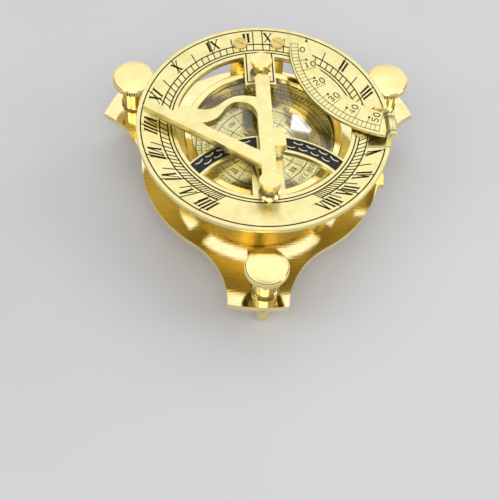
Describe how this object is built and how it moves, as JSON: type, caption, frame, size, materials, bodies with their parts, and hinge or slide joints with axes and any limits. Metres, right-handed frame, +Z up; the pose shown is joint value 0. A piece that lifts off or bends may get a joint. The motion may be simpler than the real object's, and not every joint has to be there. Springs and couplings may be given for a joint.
{
  "type": "sundial compass",
  "caption": "Brass sundial over a glazed compass, with a folding gnomon, a folding latitude arc, a hinged hour dial and a three-armed levelling base.",
  "frame": {"origin": "on the compass axis, level with the ends of the three feet", "axes": "+Z up, +Y towards the dial's north and its tilt hinge, +X towards the dial's east"},
  "size_m": [0.1182, 0.1092, 0.0507],
  "materials": {
    "polished_brass": "polished",
    "satin_brass": "satin",
    "steel": "polished",
    "glass": "clear",
    "card": "printed",
    "enamel": "gloss"
  },
  "bodies": {
    "base": {"base_plate": "polished_brass", "compass_bowl": "polished_brass", "bowl_screws": "satin_brass", "compass_card": "card", "needle_pivot": "steel", "compass_glass": "glass", "glass_bezel": "polished_brass", "hinge_bracket": "polished_brass", "hinge_bracket_screws": "satin_brass", "hinge_pin": "satin_brass", "arc_post": "polished_brass", "arc_post_screw": "satin_brass"},
    "dial": {"hour_ring": "satin_brass", "band_inlay": "enamel", "hinge_leaf": "polished_brass", "hinge_leaf_screws": "satin_brass", "north_pillar": "polished_brass", "south_pillar": "polished_brass", "arc_bracket": "polished_brass", "arc_bracket_screws": "satin_brass", "arc_hinge_pin": "steel"},
    "gnomon": {"gnomon": "satin_brass", "gnomon_pivot_pins": "steel"},
    "latitude_arc": {"latitude_arc": "satin_brass"},
    "needle": {"compass_needle": "steel", "needle_cap": "satin_brass"},
    "leg_front": {"levelling_leg_front": "polished_brass"},
    "knob_front": {"levelling_knob_front": "satin_brass"},
    "leg_right": {"levelling_leg_right": "polished_brass"},
    "knob_right": {"levelling_knob_right": "satin_brass"},
    "leg_left": {"levelling_leg_left": "polished_brass"},
    "knob_left": {"levelling_knob_left": "satin_brass"}
  },
  "joints": [
    {"name": "dial_tilt", "type": "hinge", "parent": "base", "child": "dial", "pos_m": [0, 0.04, 0.0379], "axis": [-1, 0, 0], "range_deg": [0, 60]},
    {"name": "gnomon_fold", "type": "hinge", "parent": "dial", "child": "gnomon", "pos_m": [0, 0, 0.0468], "axis": [0, 1, 0], "range_deg": [0, 90]},
    {"name": "arc_fold", "type": "hinge", "parent": "dial", "child": "latitude_arc", "pos_m": [0.0454, 0, 0.044], "axis": [0, 1, 0], "range_deg": [0, 90]},
    {"name": "needle_spin", "type": "hinge", "parent": "base", "child": "needle", "pos_m": [0, 0, 0.0317], "axis": [0, 0, 1], "continuous": true},
    {"name": "leg_front_slide", "type": "slide", "parent": "base", "child": "leg_front", "axis": [0, 0, 1], "range_m": [0, 0.008]},
    {"name": "knob_front_turn", "type": "hinge", "parent": "leg_front", "child": "knob_front", "pos_m": [-0.00193, -0.05527, 0.033], "axis": [0, 0, 1], "range_deg": [0, 3600]},
    {"name": "leg_right_slide", "type": "slide", "parent": "base", "child": "leg_right", "axis": [0, 0, 1], "range_m": [0, 0.008]},
    {"name": "knob_right_turn", "type": "hinge", "parent": "leg_right", "child": "knob_right", "pos_m": [0.04883, 0.02596, 0.033], "axis": [0, 0, 1], "range_deg": [0, 3600]},
    {"name": "leg_left_slide", "type": "slide", "parent": "base", "child": "leg_left", "axis": [0, 0, 1], "range_m": [0, 0.008]},
    {"name": "knob_left_turn", "type": "hinge", "parent": "leg_left", "child": "knob_left", "pos_m": [-0.0469, 0.02931, 0.033], "axis": [0, 0, 1], "range_deg": [0, 3600]}
  ],
  "couplings": [
    {"joint": "leg_front_slide", "follows": "knob_front_turn", "m_per_rad": 0.00012732},
    {"joint": "leg_right_slide", "follows": "knob_right_turn", "m_per_rad": 0.00012732},
    {"joint": "leg_left_slide", "follows": "knob_left_turn", "m_per_rad": 0.00012732}
  ]
}
